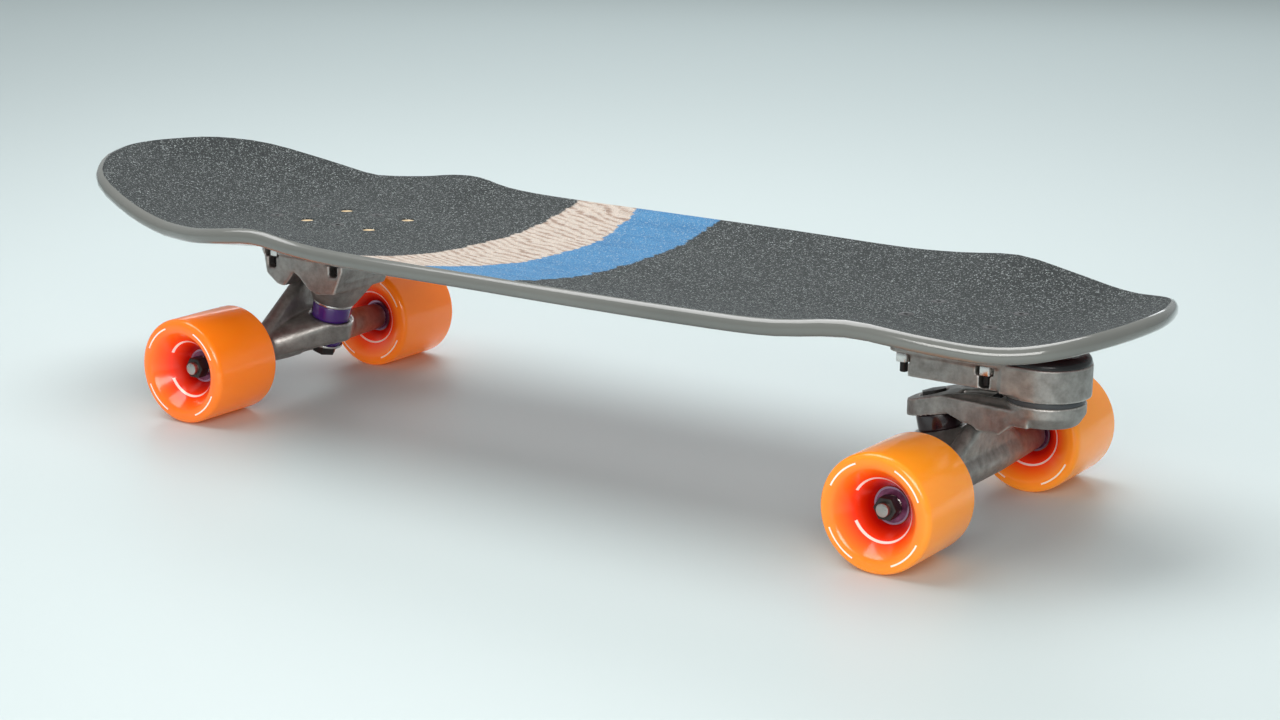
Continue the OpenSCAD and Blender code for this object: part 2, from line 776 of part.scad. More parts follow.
module front_post() {
    color("silver")
        at_front() at_post()
            rotate_extrude()
                polygon([[0, post_bottom], [post_d / 2, post_bottom], [post_d / 2, cap_floor],
                    [post_head_r, cap_floor], [post_head_r, cap_floor + 3], [0, cap_floor + 3]]);
}
post_nut_h = 4.5;
post_nut_af = 24;
post_nut_z = hub_floor - moving_gap - post_nut_h;
post_bottom = post_nut_z;

module front_post_nut() {
    color("dimgray")
        at_front() at_post()
            translate([0, 0, post_nut_z]) hex_nut(post_nut_af, post_d / 2, post_nut_h);
}

// Domed cover over the barrel and the head of the post, held by three screws
cap_h = 5.5;
cap_screw_r = 2.6;
cap_screw_circle = barrel_r - 11;
cap_screw_drop = 1.6;
module at_cap_screws() {
    for (a = [60:120:300])
        rotate([0, 0, a]) translate([cap_screw_circle, 0, 0]) children();
}

module front_post_cap() {
    r = barrel_r - 0.6;
    top = barrel_top + cap_h;
    crown = 5;
    dome = [for (a = [0:15:90]) [r - crown + crown * cos(a), top - crown + crown * sin(a)]];
    color("#202020")
        at_front() at_post()
            difference() {
                rotate_extrude($fn = 96)
                    polygon(concat([[post_head_r + 0.2, barrel_top], [r, barrel_top]], dome,
                        [[0, top], [0, top - 5], [post_head_r + 0.2, top - 5]]));
                at_cap_screws() translate([0, 0, barrel_top - 1]) cylinder(r = 1.2, h = 20);
                at_cap_screws()
                    translate([0, 0, top - cap_screw_drop]) cylinder(r = cap_screw_r + 0.2, h = 5);
            }
}

module front_cap_screws() {
    top = barrel_top + cap_h;
    color("silver")
        at_front() at_post()
            at_cap_screws()
                difference() {
                    union() {
                        translate([0, 0, barrel_top - 2])
                            cylinder(r = 1.2, h = cap_h - cap_screw_drop + 2 + eps);
                        translate([0, 0, top - cap_screw_drop])
                            cylinder(r1 = cap_screw_r, r2 = cap_screw_r - 0.7, h = 1.8);
                    }
                    translate([0, 0, top - 0.6]) cylinder(r = 1, h = 2, $fn = 6);
                }
}

module front_thrust_ring() {
    color("#404448")
        at_front() at_post()
            translate([0, 0, arm_bottom + arm_t])
                difference() {
                    cylinder(r = arm_r - 0.8, h = thrust_t);
                    translate([0, 0, -1]) cylinder(r = spring_room_r + 0.5, h = thrust_t + 2);
                }
}

// Coil around the post: it turns the arm back to the middle
spring_r = spring_room_r - spring_wire / 2 - 0.6;
spring_low = arm_bottom + arm_t + spring_wire / 2 + 0.2;
spring_high = spring_room_top - spring_wire / 2 - 0.2;
module front_centring_spring() {
    ring_n = 8;
    steps = 20 * spring_turns;
    points = [for (i = [0:steps], s = [0:ring_n - 1])
        let (a = i * 360 / 20, b = s * 360 / ring_n, r = spring_r + spring_wire / 2 * cos(b))
        [r * cos(a), r * sin(a),
            spring_low + (spring_high - spring_low) * i / steps + spring_wire / 2 * sin(b)]];
    sides = [for (i = [0:steps - 1], s = [0:ring_n - 1]) let (t = (s + 1) % ring_n) each [
        [i * ring_n + s, i * ring_n + t, (i + 1) * ring_n + t],
        [i * ring_n + s, (i + 1) * ring_n + t, (i + 1) * ring_n + s]]];
    ends = [[for (s = [ring_n - 1:-1:0]) s], [for (s = [0:ring_n - 1]) steps * ring_n + s]];
    color("silver")
        at_front() at_post() polyhedron(points = points, faces = concat(sides, ends), convexity = 10);
}

// Swing arm: a round end on the post, reaching back over the hanger's kingpin
arm_tip_r = 18;
arm_tip_x = ring_x + seat_up * sin(kingpin_lean);
arm_tip_end = arm_tip_x + arm_tip_r;
arm_top = arm_bottom + arm_t;
arm_foot_r = arm_r - 4;
front_belly_z = arm_bottom - 7;
// The underside of the tip follows the tilted seat of the bushing
function seat_z(x) = arm_seat_z - (x - arm_tip_x) * tan(kingpin_lean);
arm_side = [
    [-post_reach, arm_bottom], [-32, arm_bottom], [-24, front_belly_z], [-8, front_belly_z],
    [0, arm_bottom - 4], [10, seat_z(10) - 1.5], [arm_tip_end + 2, seat_z(arm_tip_end) - 2],
    [arm_tip_end + 2, arm_seat_z + 3.5], [28, arm_seat_z + 9.5], [14, arm_top - 2.5],
    [-6, arm_top + 0.5], [-14, arm_top], [-post_reach, arm_top]
];
// Across the arm the top falls away from a middle ridge
arm_section = [
    [-30, 40], [30, 40], [30, arm_top - 5], [arm_tip_r, arm_top - 3], [7, 90], [-7, 90],
    [-arm_tip_r, arm_top - 3], [-30, arm_top - 5]
];
module arm_plan() {
    hull() {
        translate([-post_reach, 0]) circle(arm_r - 0.5, $fn = 64);
        translate([arm_tip_x, 0]) circle(arm_tip_r, $fn = 64);
    }
}

module front_swing_arm() {
    color("#8c8378")
        at_front()
            difference() {
                union() {
                    intersection() {
                        translate([0, 0, 40]) linear_extrude(60) arm_plan();
                        translate([0, 40, 0]) rotate([90, 0, 0]) linear_extrude(80) polygon(arm_side);
                        translate([-post_reach, 0, 0])
                            rotate([90, 0, 90])
                                linear_extrude(post_reach + arm_tip_end + 5) polygon(arm_section);
                    }
                    at_post() {
                        translate([0, 0, arm_bottom])
                            cylinder(r1 = arm_foot_r, r2 = arm_r, h = arm_t / 2, $fn = 96);
                        translate([0, 0, arm_bottom + arm_t / 2])
                            cylinder(r = arm_r, h = arm_t / 2, $fn = 96);
                    }
                }
                cup_room(front_pivot);
                at_post() {
                    translate([0, 0, arm_bottom - 1]) cylinder(r = arm_bush_r, h = arm_t + 2);
                    translate([0, 0, 40])
                        cylinder(r = post_nut_af / 2 / cos(30) + moving_gap, h = hub_floor - 40);
                }
                hull() {
                    on_pivot(front_pivot)
                        translate([0, 0, web_start]) sphere(r = neck_r + 3.2, $fn = 24);
                    translate([-1, -web_w / 2 - 8, axle_z + 2])
                        rotate([-90, 0, 0]) cylinder(r = 9, h = web_w + 16, $fn = 24);
                }
                on_kingpin() {
                    translate([0, 0, seat_up - 30]) cylinder(r = bushing_d / 2 + 3.5, h = 30);
                    cylinder(r = kingpin_hole_r, h = 60);
                    translate([0, 0, front_kingpin_up - eps])
                        cylinder(r = kingpin_nut_af / 2 / cos(30) + 0.5, h = 50);
                }
                for (side = [-1, 1])
                    mirror([0, side < 0 ? 1 : 0, 0])
                        translate([-20, 3.5, arm_bottom + 3]) cube([28, 9, 30]);
            }
}
arm_bush_wall = 3;
arm_bush_r = post_d / 2 + running_gap + arm_bush_wall;

module front_arm_bushes() {
    bush_h = (arm_top - hub_floor) / 2 - 0.2;
    color("peru")
        at_front() at_post()
            for (z = [hub_floor, arm_top - bush_h])
                translate([0, 0, z])
                    difference() {
                        cylinder(r = arm_bush_r, h = bush_h);
                        translate([0, 0, -1]) cylinder(r = post_d / 2 + running_gap, h = bush_h + 2);
                    }
}

deck_core();
deck_base_sheet();
deck_rail();
deck_grip();
deck_bolts(rear_bolts_x);  // rear_deck_bolts
deck_nuts(rear_bolts_x);  // rear_deck_nuts
deck_bolts(front_bolts_x);  // front_deck_bolts
deck_nuts(front_bolts_x);  // front_deck_nuts
rear_baseplate();
at_rear() pivot_cup(rear_pivot);  // rear_pivot_cup
at_rear() kingpin(kingpin_up);  // rear_kingpin
at_rear() kingpin_nut();  // rear_kingpin_nut
at_rear() cup_washers();  // rear_cup_washers
at_rear() upper_bushing("indigo");  // rear_upper_bushing
at_rear() lower_bushing("indigo");  // rear_lower_bushing
at_rear() hanger(rear_pivot);  // rear_hanger
at_rear() axle();  // rear_axle
at_rear() axle_nuts();  // rear_axle_nuts
at_rear() speed_washers();  // rear_speed_washers
at_rear() bearing_spacers();  // rear_bearing_spacers
at_rear() inner_races();  // rear_inner_races
front_baseplate();
front_post();
front_post_nut();
front_post_cap();
front_cap_screws();
front_thrust_ring();
front_centring_spring();
front_swing_arm();
front_arm_bushes();
at_front() pivot_cup(front_pivot);  // front_pivot_cup
at_front() kingpin(front_kingpin_up);  // front_kingpin
at_front() kingpin_nut();  // front_kingpin_nut
at_front() cup_washers();  // front_cup_washers
at_front() upper_bushing("#301818");  // front_upper_bushing
at_front() lower_bushing("#301818");  // front_lower_bushing
at_front() hanger(front_pivot);  // front_hanger
at_front() axle();  // front_axle
at_front() axle_nuts();  // front_axle_nuts
at_front() speed_washers();  // front_speed_washers
at_front() bearing_spacers();  // front_bearing_spacers
at_front() inner_races();  // front_inner_races
at_rear() tyre(-1);  // rear_near_tyre
at_rear() core(-1);  // rear_near_core
at_rear() outer_races(-1);  // rear_near_outer_races
at_rear() bearing_balls(-1);  // rear_near_balls
at_rear() tyre(1);  // rear_far_tyre
at_rear() core(1);  // rear_far_core
at_rear() outer_races(1);  // rear_far_outer_races
at_rear() bearing_balls(1);  // rear_far_balls
at_front() tyre(-1);  // front_near_tyre
at_front() core(-1);  // front_near_core
at_front() outer_races(-1);  // front_near_outer_races
at_front() bearing_balls(-1);  // front_near_balls
at_front() tyre(1);  // front_far_tyre
at_front() core(1);  // front_far_core
at_front() outer_races(1);  // front_far_outer_races
at_front() bearing_balls(1);  // front_far_balls
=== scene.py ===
# %% [markdown]
# # A surf skateboard
# The board has a concave deck with a kicked tail, a plain truck at the tail, a truck on a sprung
# swing arm at the nose, and four wide urethane wheels. The exact model gives every size and joint,
# so this script only adds what exact solids lack: cast skins, worn edges, grit, print and gloss.

import json
import math

import bmesh
import bpy
from mathutils import Matrix, Vector


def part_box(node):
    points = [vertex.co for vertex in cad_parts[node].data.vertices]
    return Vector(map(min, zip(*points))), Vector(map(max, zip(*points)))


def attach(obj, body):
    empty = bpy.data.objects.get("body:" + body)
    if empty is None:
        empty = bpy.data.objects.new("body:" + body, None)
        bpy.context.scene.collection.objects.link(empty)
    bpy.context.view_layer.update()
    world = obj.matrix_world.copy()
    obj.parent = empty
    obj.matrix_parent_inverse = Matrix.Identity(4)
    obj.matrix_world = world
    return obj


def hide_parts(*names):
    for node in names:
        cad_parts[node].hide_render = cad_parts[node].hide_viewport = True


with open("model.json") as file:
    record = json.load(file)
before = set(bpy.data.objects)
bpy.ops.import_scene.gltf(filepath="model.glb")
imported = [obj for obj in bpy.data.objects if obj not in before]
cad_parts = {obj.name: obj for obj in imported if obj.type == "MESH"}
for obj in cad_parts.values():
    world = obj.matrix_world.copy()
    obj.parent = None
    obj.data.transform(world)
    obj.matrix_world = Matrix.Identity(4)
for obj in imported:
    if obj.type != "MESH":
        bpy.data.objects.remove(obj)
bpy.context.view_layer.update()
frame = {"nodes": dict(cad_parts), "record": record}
nodes = frame["nodes"]

# %% [markdown]
# ## Camera
# The board is seen from its near side, a little ahead of the middle, with a long lens. Yaw turns
# the camera about the vertical, pitch tips it down, and a small roll levels the picture.

# %% Camera
CAMERA_PLACE = (0.927, -1.3248, 0.4676)
CAMERA_YAW = 33.676
CAMERA_PITCH = 14.325
CAMERA_ROLL = 0.817
SENSOR_WIDTH = 36
LENS = 72.51
camera_data = bpy.data.cameras.new("camera")
camera_data.sensor_width = SENSOR_WIDTH
camera_data.lens = LENS
camera = bpy.data.objects.new("camera", camera_data)
bpy.context.scene.collection.objects.link(camera)
turn = Matrix.Rotation(math.radians(CAMERA_YAW), 4, "Z")
tip = Matrix.Rotation(math.radians(90 - CAMERA_PITCH), 4, "X")
roll = Matrix.Rotation(math.radians(CAMERA_ROLL), 4, "Z")
camera.matrix_world = Matrix.Translation(CAMERA_PLACE) @ turn @ tip @ roll
bpy.context.scene.camera = camera
bpy.context.scene.view_settings.view_transform = "Standard"

# %% [markdown]
# ## Studio
# A wide soft box overhead gives the grip its even grey. A second one on the near side lights the
# wheels and the castings, and a weak one behind draws a rim along the rail. The floor is a plain
# pale sheet that the wheels just touch.


# %% Lights and floor
def aim(obj, target):
    """Turns a light so that its -Z axis points at target."""
    way = Vector(target) - obj.location
    obj.rotation_euler = way.to_track_quat("-Z", "Y").to_euler()


def soft_box(name, place, size, power, tint=(1, 1, 1)):
    data = bpy.data.lights.new(name, "AREA")
    data.shape = "RECTANGLE"
    data.size, data.size_y = size
    data.energy = power
    data.color = tint
    light = bpy.data.objects.new(name, data)
    bpy.context.scene.collection.objects.link(light)
    light.location = place
    aim(light, (0, 0, 0.08))
    return light


soft_box("overhead", (-0.4, 0.1, 1.6), (1.9, 1.2), 27)
soft_box("near_side", (0.9, -1.5, 0.85), (1.1, 0.8), 19, (1, 0.985, 0.96))
soft_box("behind", (-1.2, 2.2, 1.3), (2.6, 0.9), 17, (0.93, 0.97, 1))

world = bpy.data.worlds.new("studio_air")
bpy.context.scene.world = world
world.use_nodes = True
world.node_tree.nodes["Background"].inputs["Color"].default_value = (0.86, 0.93, 0.94, 1)
world.node_tree.nodes["Background"].inputs["Strength"].default_value = 0.42

bpy.ops.object.select_all(action="DESELECT")
bpy.ops.mesh.primitive_plane_add(size=24, location=(0, 0, 0))
floor = bpy.context.object
floor.name = "floor"

# %% [markdown]
# ## Finishes
# Each finish is a small node tree on Object coordinates, which are metres in the board's own
# frame. `Finish` keeps the wiring short: it makes one Principled shader and adds nodes to it.


# %% Finish helper
class Finish:
    def __init__(self, name, colour, rough, metal=0.0):
        self.material = bpy.data.materials.new(name)
        self.material.use_nodes = True
        self.tree = self.material.node_tree
        self.shader = self.tree.nodes["Principled BSDF"]
        self.set("Base Color", (*colour, 1))
        self.set("Roughness", rough)
        self.set("Metallic", metal)
        self.place = self.tree.nodes.new("ShaderNodeTexCoord").outputs["Object"]

    def set(self, socket, value):
        self.shader.inputs[socket].default_value = value

    def link(self, source, socket):
        self.tree.links.new(source, socket)
        return source

    def to(self, source, socket):
        return self.link(source, self.shader.inputs[socket])

    def noise(self, scale, detail=4.0, rough=0.5, stretch=None):
        node = self.tree.nodes.new("ShaderNodeTexNoise")
        node.inputs["Scale"].default_value = scale
        node.inputs["Detail"].default_value = detail
        node.inputs["Roughness"].default_value = rough
        where = self.scaled(self.place, stretch) if stretch else self.place
        self.link(where, node.inputs["Vector"])
        return node.outputs["Fac"]

    def scaled(self, source, factors):
        node = self.tree.nodes.new("ShaderNodeMapping")
        node.inputs["Scale"].default_value = factors
        self.link(source, node.inputs["Vector"])
        return node.outputs["Vector"]

    def cells(self, scale):
        node = self.tree.nodes.new("ShaderNodeTexVoronoi")
        node.inputs["Scale"].default_value = scale
        self.link(self.place, node.inputs["Vector"])
        return node

    def math(self, kind, first, second=0.0, clamp=False):
        node = self.tree.nodes.new("ShaderNodeMath")
        node.operation = kind
        node.use_clamp = clamp
        for socket, value in zip(node.inputs, (first, second)):
            if isinstance(value, (int, float)):
                socket.default_value = value
            else:
                self.link(value, socket)
        return node.outputs[0]

    def ramp(self, source, *stops):
        """stops are (place, colour) with grey levels or RGB."""
        node = self.tree.nodes.new("ShaderNodeValToRGB")
        marks = node.color_ramp.elements
        while len(marks) < len(stops):
            marks.new(0.5)
        for mark, (place, colour) in zip(marks, stops):
            mark.position = place
            grey = isinstance(colour, (int, float))
            mark.color = (colour, colour, colour, 1) if grey else (*colour, 1)
        self.link(source, node.inputs["Fac"])
        return node.outputs["Color"]

    def mix(self, share, first, second, blend="MIX"):
        node = self.tree.nodes.new("ShaderNodeMix")
        node.data_type = "RGBA"
        node.blend_type = blend
        # A mix node for colours takes its share in socket 0 and its two colours in 6 and 7
        for place, value in ((0, share), (6, first), (7, second)):
            socket = node.inputs[place]
            if isinstance(value, (int, float)):
                socket.default_value = value
            elif isinstance(value, tuple):
                socket.default_value = (*value, 1)
            else:
                self.link(value, socket)
        return node.outputs[2]

    def bump(self, source, strength, depth):
        node = self.tree.nodes.new("ShaderNodeBump")
        node.inputs["Strength"].default_value = strength
        node.inputs["Distance"].default_value = depth
        if self.shader.inputs["Normal"].is_linked:
            self.link(self.shader.inputs["Normal"].links[0].from_socket, node.inputs["Normal"])
        self.link(source, node.inputs["Height"])
        self.to(node.outputs["Normal"], "Normal")

    def edges(self, low, high):
        """1 on worn outer edges, 0 on flat ground, from the mesh's own curvature."""
        sharp = self.tree.nodes.new("ShaderNodeNewGeometry").outputs["Pointiness"]
        return self.ramp(sharp, (low, 0.0), (high, 1.0))

    def split(self):
        """The three parts of the place, x, y and z."""
        node = self.tree.nodes.new("ShaderNodeSeparateXYZ")
        self.link(self.place, node.inputs[0])
        return node.outputs

    def round_axle(self, centre):
        """Radius and angle about a wheel's axis, whose x and z are in centre."""
        place_x, _, place_z = self.split()
        dx = self.math("SUBTRACT", place_x, centre[0])
        dz = self.math("SUBTRACT", place_z, centre[1])
        square = self.math("ADD", self.math("MULTIPLY", dx, dx), self.math("MULTIPLY", dz, dz))
        return self.math("SQRT", square), self.math("ARCTAN2", dz, dx)


floor_finish = Finish("pale_floor", (0.56, 0.63, 0.63), 0.5)
floor.data.materials.append(floor_finish.material)

# %% [markdown]
# ## Cast alloy
# The trucks are raw castings, tumbled after the mould: a dull warm grey with a fine pebbled skin,
# darker in the hollows and rubbed bright on the edges. Curvature picks out those edges.

# %% Metal finishes
cast = Finish("cast_alloy", (0.34, 0.32, 0.30), 0.42, 0.8)
blotches = cast.noise(130, 5, 0.65)
skin = cast.noise(900, 3, 0.6)
body_tone = cast.ramp(blotches, (0.32, (0.235, 0.222, 0.208)), (0.68, (0.40, 0.385, 0.365)))
rubbed = cast.edges(0.515, 0.56)
cast.to(cast.mix(rubbed, body_tone, (0.80, 0.77, 0.73)), "Base Color")
cast.to(cast.ramp(cast.noise(210, 4), (0.3, 0.30), (0.7, 0.52)), "Roughness")
cast.bump(blotches, 0.2, 0.0008)
cast.bump(skin, 0.5, 0.00022)


def plated(name, colour, rough, metal=1.0):
    """Turned or plated steel: faint turning marks and small tone changes."""
    steel = Finish(name, colour, rough, metal)
    haze = steel.noise(160, 4)
    dark = tuple(0.72 * c for c in colour)
    steel.to(steel.ramp(haze, (0.3, dark), (0.7, colour)), "Base Color")
    steel.to(steel.ramp(haze, (0.3, rough * 0.8), (0.7, min(1, rough * 1.3))), "Roughness")
    steel.bump(steel.noise(1600, 2), 0.15, 0.00008)
    return steel


zinc = plated("bright_zinc", (0.78, 0.77, 0.75), 0.22)
axle_steel = plated("axle_steel", (0.52, 0.49, 0.46), 0.30)
race_steel = plated("race_steel", (0.82, 0.82, 0.82), 0.14)
spring_steel = plated("spring_steel", (0.45, 0.45, 0.46), 0.28)
bronze = plated("sintered_bronze", (0.55, 0.36, 0.18), 0.38)
black_steel = plated("black_oxide", (0.05, 0.046, 0.044), 0.34, 0.7)
bolt_black = plated("black_bolt_paint", (0.012, 0.012, 0.012), 0.5, 0.1)
maroon_steel = plated("red_washer", (0.17, 0.022, 0.02), 0.30, 0.5)

# %% [markdown]
# ## Urethane and plastics
# Bushings are glossy cast urethane, the cap is a black moulding, and pivot cups are soft black.
# All of them scatter a little light under a glossy skin.


# %% Plastic finishes
def moulded(name, colour, rough, depth=0.0):
    """A moulded skin: slight orange peel and mottled gloss, and depth where light gets inside."""
    skin_finish = Finish(name, colour, rough)
    skin_finish.set("Subsurface Weight", depth)
    skin_finish.set("Subsurface Radius", (0.004, 0.002, 0.002))
    skin_finish.set("Subsurface Scale", 1.0)
    mottle = skin_finish.noise(120, 3)
    gloss = skin_finish.ramp(mottle, (0.3, rough * 0.8), (0.7, min(1, rough * 1.35)))
    skin_finish.to(gloss, "Roughness")
    skin_finish.bump(skin_finish.noise(420, 2), 0.12, 0.00015)
    return skin_finish


purple = moulded("purple_bushing", (0.075, 0.022, 0.20), 0.16, 0.25)
purple.set("Coat Weight", 0.6)
dark_bushing = moulded("dark_bushing", (0.018, 0.010, 0.012), 0.18)
dark_bushing.set("Coat Weight", 0.5)
cap_black = moulded("black_cap", (0.012, 0.012, 0.013), 0.20)
cup_black = moulded("pivot_cup", (0.02, 0.02, 0.022), 0.42)
seal_grey = moulded("seal", (0.05, 0.055, 0.06), 0.5)

# %% [markdown]
# ## Grip
# The top is covered with clear grit over a printed sheet: charcoal, with a cream and a blue field
# across the board. The fields are bounded by shallow arcs with ragged, brushed edges, and the
# cream one carries fine brown lines like wood grain. The grit catches the light as pale specks.

# %% Grip finish
# RAGGED_REACH is how far the brushed edges wander in metres; an edge fades over 1 / FADE metres
RAGGED_REACH = 0.017
FADE = 700
grip_finish = Finish("grit_print", (0.06, 0.066, 0.07), 0.72)
x, y, _ = grip_finish.split()
arc = grip_finish.math("MULTIPLY", y, y)
ragged = grip_finish.noise(60, 5, 0.75, (0.35, 1.6, 1.0))
wobble = grip_finish.math("MULTIPLY", grip_finish.math("SUBTRACT", ragged, 0.5), RAGGED_REACH)
shifted = grip_finish.math("ADD", x, wobble)
# Each border is (x on the centreline, how far it falls back per square metre of y)
BORDERS = {"cream": (-0.074, -0.9), "blue": (-0.015, -1.7), "dark": (0.038, -0.65)}


def past(border):
    """1 on the nose side of a border and 0 on its tail side."""
    start, fall = BORDERS[border]
    line = grip_finish.math("ADD", grip_finish.math("MULTIPLY", arc, fall), start)
    gap = grip_finish.math("SUBTRACT", shifted, line)
    return grip_finish.math("ADD", grip_finish.math("MULTIPLY", gap, FADE), 0.5, clamp=True)


# The brown lines cross the cream field at a slant and wander like grain
LINE_SLANT = 0.38
LINES_PER_METRE = 135
across = grip_finish.math("ADD", y, grip_finish.math("MULTIPLY", x, LINE_SLANT))
drift = grip_finish.math("MULTIPLY", grip_finish.noise(15, 5, 0.65), 0.035)
turns = grip_finish.math("MULTIPLY", grip_finish.math("ADD", across, drift), math.tau * LINES_PER_METRE)
lines = grip_finish.math("SINE", turns)
fibre = grip_finish.math("MULTIPLY", grip_finish.noise(130, 4, 0.7, (0.5, 2, 1)), 1.5)
line_share = grip_finish.math("MULTIPLY", lines, 0.24)
line_mark = grip_finish.math("ADD", line_share, grip_finish.math("SUBTRACT", fibre, 0.25))
grain = grip_finish.ramp(
    line_mark, (0.12, (0.36, 0.24, 0.18)), (0.40, (0.58, 0.46, 0.38)), (0.60, (0.68, 0.58, 0.50))
)
charcoal = grip_finish.ramp(
    grip_finish.noise(1500, 3, 0.7), (0.35, (0.010, 0.013, 0.014)), (0.7, (0.052, 0.060, 0.060))
)
sea = grip_finish.ramp(
    grip_finish.noise(30, 5, 0.6, (0.6, 2, 1)), (0.3, (0.045, 0.20, 0.42)), (0.7, (0.07, 0.27, 0.52))
)
tone = grip_finish.mix(past("cream"), charcoal, grain)
tone = grip_finish.mix(past("blue"), tone, sea)
tone = grip_finish.mix(past("dark"), tone, charcoal)
grit = grip_finish.cells(1500)
sparkle = grip_finish.ramp(grit.outputs["Color"], (0.72, 0.0), (0.95, 0.75))
tone = grip_finish.mix(sparkle, tone, (0.62, 0.67, 0.66))
shade = grip_finish.ramp(grip_finish.noise(1900, 2), (0.35, 0.55), (0.6, 1.0))
grip_finish.to(grip_finish.mix(1.0, tone, shade, "MULTIPLY"), "Base Color")
grip_finish.set("Specular IOR Level", 0.2)
grip_finish.bump(grit.outputs["Distance"], 0.5, 0.0005)

# %% [markdown]
# ## Rail, sheet and wood
# The rail is poured grey urethane round a bamboo core, so it is smooth with a soft shine. The
# sheet under the board is deep red gloss. The wood shows only inside the open bolt holes.

# %% Deck finishes
rail_finish = Finish("grey_rail", (0.17, 0.17, 0.155), 0.17)
rail_finish.set("Coat Weight", 0.7)
rail_finish.set("Coat Roughness", 0.08)
cloud = rail_finish.noise(14, 3, 0.5, (0.4, 1, 1))
rail_finish.bump(rail_finish.noise(60, 2), 0.08, 0.0003)
rail_tone = rail_finish.ramp(cloud, (0.3, (0.140, 0.143, 0.132)), (0.7, (0.180, 0.180, 0.165)))
rail_finish.to(rail_tone, "Base Color")
sheet_finish = moulded("deep_red_sheet", (0.22, 0.028, 0.03), 0.20)
sheet_finish.set("Coat Weight", 0.5)
wood = Finish("bamboo", (0.70, 0.54, 0.33), 0.5)
fibres = wood.noise(40, 5, 0.6, (1, 14, 60))
wood.to(wood.ramp(fibres, (0.35, (0.52, 0.36, 0.19)), (0.65, (0.80, 0.65, 0.43))), "Base Color")

# %% [markdown]
# ## Wheels
# The wheels are clear orange urethane. How light passes through it is painted into the colour by
# radius: the thin outer edge is a lighter yellow-orange, a painted glow, and the cone round the bearing
# a dark saturated red, painted shade. Plain printed rings mark the face: a broken outer one near the rim
# and an inner one part of the way down the cone.


# %% Wheel finishes
# Painted glow: the tyres give off a little light in their own painted tones, though they are no lamp
TYRE_PAINTED_GLOW = 0.22
# The tones run from the axis out to this radius
TONE_REACH = 0.036
# Printed rings: (radius, line width), and (arcs a turn, phase, share) that cut them into arcs
OUTER_RING, OUTER_ARCS = (0.0300, 0.0010), (4, -1.57, 0.1)
INNER_RING, INNER_ARCS = (0.0185, 0.0011), (1, 1.57, -0.88)
INK = (0.95, 0.90, 0.82)
# Each end has a face tone and a rim tone; the lighter rims and the yellower front pair are painted light
# shining through the urethane
TYRE_TONES_AND_PAINTED_GLOW = {
    "rear": ((1.0, 0.165, 0.006), (1.0, 0.215, 0.008)), "front": ((1.0, 0.22, 0.010), (1.0, 0.31, 0.016))
}


def tyre_finish(name, centre, face, rim):
    """centre is the wheel's axis in x and z, so that the rings stay true to it."""
    tyre = Finish(name, rim, 0.17)
    radius, angle = tyre.round_axle(centre)
    # Painted light: by radius the colour runs from a dark red in the cone round the bearing, painted
    # shade, through the face's orange to a lighter rim, a painted glow
    depth = tyre.ramp(
        tyre.math("MULTIPLY", radius, 1 / TONE_REACH),
        (0.36, (0.42, 0.004, 0.001)), (0.52, (0.90, 0.036, 0.002)), (0.75, face), (0.98, rim),
    )

    def ring(r, width):
        off = tyre.math("ABSOLUTE", tyre.math("SUBTRACT", radius, r))
        return tyre.math("LESS_THAN", off, width / 2)

    def arc_gate(turns, phase, share):
        """1 on that many equal arcs a turn, each longer as share falls from 1 to -1."""
        wave = tyre.math("SINE", tyre.math("ADD", tyre.math("MULTIPLY", angle, turns), phase))
        return tyre.math("GREATER_THAN", wave, share)

    outer = tyre.math("MULTIPLY", ring(*OUTER_RING), arc_gate(*OUTER_ARCS))
    inner = tyre.math("MULTIPLY", ring(*INNER_RING), arc_gate(*INNER_ARCS))
    ink = tyre.math("MAXIMUM", outer, inner)
    tyre.to(tyre.mix(ink, depth, INK), "Base Color")
    tyre.set("Subsurface Weight", 0.3)
    tyre.set("Subsurface Radius", (0.018, 0.006, 0.0015))
    tyre.set("Subsurface Scale", 1.0)
    tyre.set("Coat Weight", 0.35)
    # Painted glow: the painted tones are also emitted as light
    tyre.to(depth, "Emission Color")
    tyre.set("Emission Strength", TYRE_PAINTED_GLOW)
    tyre.to(tyre.ramp(tyre.noise(90, 4), (0.3, 0.13), (0.7, 0.26)), "Roughness")
    return tyre


axle_places = {}
for end in ("rear", "front"):
    low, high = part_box(f"{end}_axle")
    axle_places[end] = ((low[0] + high[0]) / 2, (low[2] + high[2]) / 2)
tyre_finishes = {
    end: tyre_finish(f"{end}_orange_urethane", axle_places[end], *TYRE_TONES_AND_PAINTED_GLOW[end]) for end in axle_places
}


SHIELD_EDGE = 0.0099


def shield_finish(name, centre):
    """Plum shields inside a thin, slightly brighter outer race."""
    shield = Finish(name, (0.15, 0.03, 0.09), 0.25, 0.6)
    radius, _ = shield.round_axle(centre)
    race = shield.math("GREATER_THAN", radius, SHIELD_EDGE)
    plum = shield.ramp(shield.noise(300, 3), (0.3, (0.10, 0.02, 0.06)), (0.7, (0.22, 0.06, 0.14)))
    shield.to(shield.mix(race, plum, (0.34, 0.20, 0.28)), "Base Color")
    shield.to(shield.mix(race, (0.4, 0.4, 0.4), (1.0, 1.0, 1.0)), "Metallic")
    return shield


shield_finishes = {end: shield_finish(f"{end}_shield", axle_places[end]) for end in axle_places}
core_finish = moulded("wheel_core", (0.80, 0.16, 0.03), 0.30, 0.2)

# %% [markdown]
# ## Working from the exact pieces
# An exact solid has perfectly sharp edges and a mesh of loose triangles. A copy is merged into
# one skin, flat areas are dissolved back to single faces, and a small bevel gives each edge the
# rounding that catches light. The copy then stands for its exact node.


# %% Copy helper
def only(obj):
    bpy.ops.object.select_all(action="DESELECT")
    obj.select_set(True)
    bpy.context.view_layer.objects.active = obj


